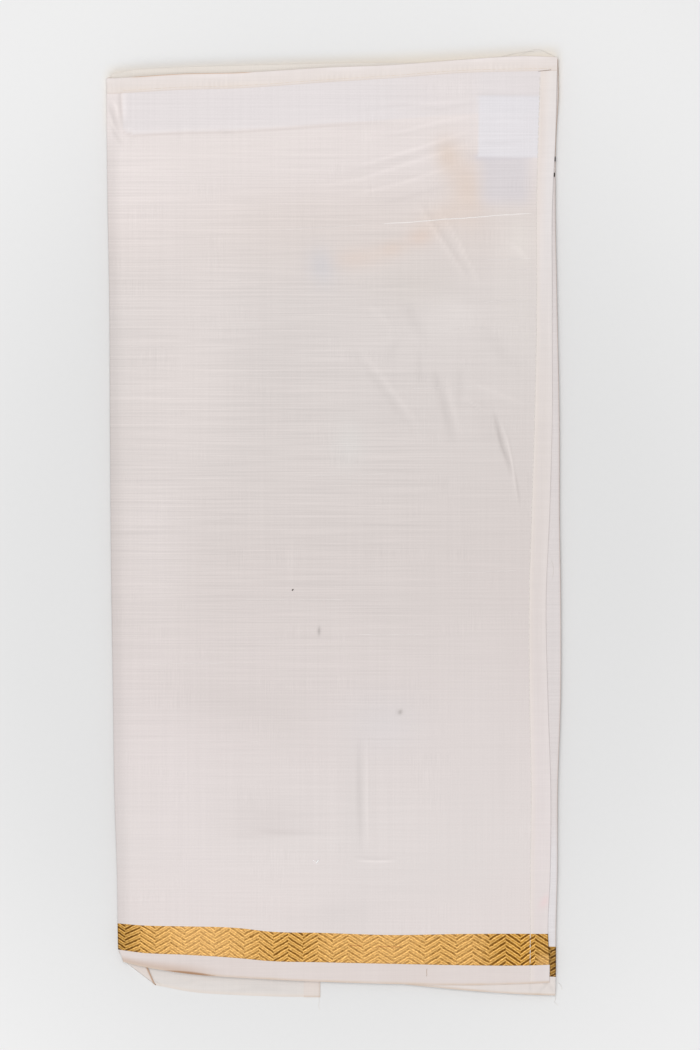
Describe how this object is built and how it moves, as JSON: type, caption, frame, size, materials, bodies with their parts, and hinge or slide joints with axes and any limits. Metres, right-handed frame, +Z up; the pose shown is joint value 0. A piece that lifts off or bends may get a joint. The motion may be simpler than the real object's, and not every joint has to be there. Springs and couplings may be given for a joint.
{
  "type": "folded dhoti cloth",
  "caption": "Ivory silk dhoti with a woven gold border along its lower edge, hemmed at the waist edge and the cut ends, folded flat in layers to lie on a surface.",
  "frame": {"origin": "centre of the box's underside, on the surface that the cloth lies on", "axes": "+Y across the cloth towards its waist edge, +X along the stretches towards the hemmed end and the right fold, +Z up"},
  "size_m": [0.295, 0.6125, 0.0106],
  "materials": {
    "silk": "thin plain-woven silk, pinkish ivory, slubbed along the weft, soft sheen",
    "hem_silk": "the same silk doubled in a hem or woven closer along the edge, lighter",
    "gold_thread": "woven metallic gold thread in a zigzag rib, satin metal sheen",
    "facing_cloth": "plain white cotton band, matte",
    "label_satin": "blank white satin label, soft sheen"
  },
  "bodies": {
    "root": {"top_field": "silk", "top_border": "gold_thread", "top_selvage": "hem_silk", "waist_hem": "hem_silk", "end_hem": "hem_silk", "end_hem_border": "gold_thread", "end_hem_selvage": "hem_silk", "waist_facing": "facing_cloth", "label": "label_satin", "second_field": "silk", "second_border": "gold_thread", "second_selvage": "hem_silk", "hidden_stretches": "silk", "inner_field": "silk", "inner_border": "gold_thread", "inner_selvage": "hem_silk", "inner_hem": "hem_silk"}
  },
  "joints": []
}
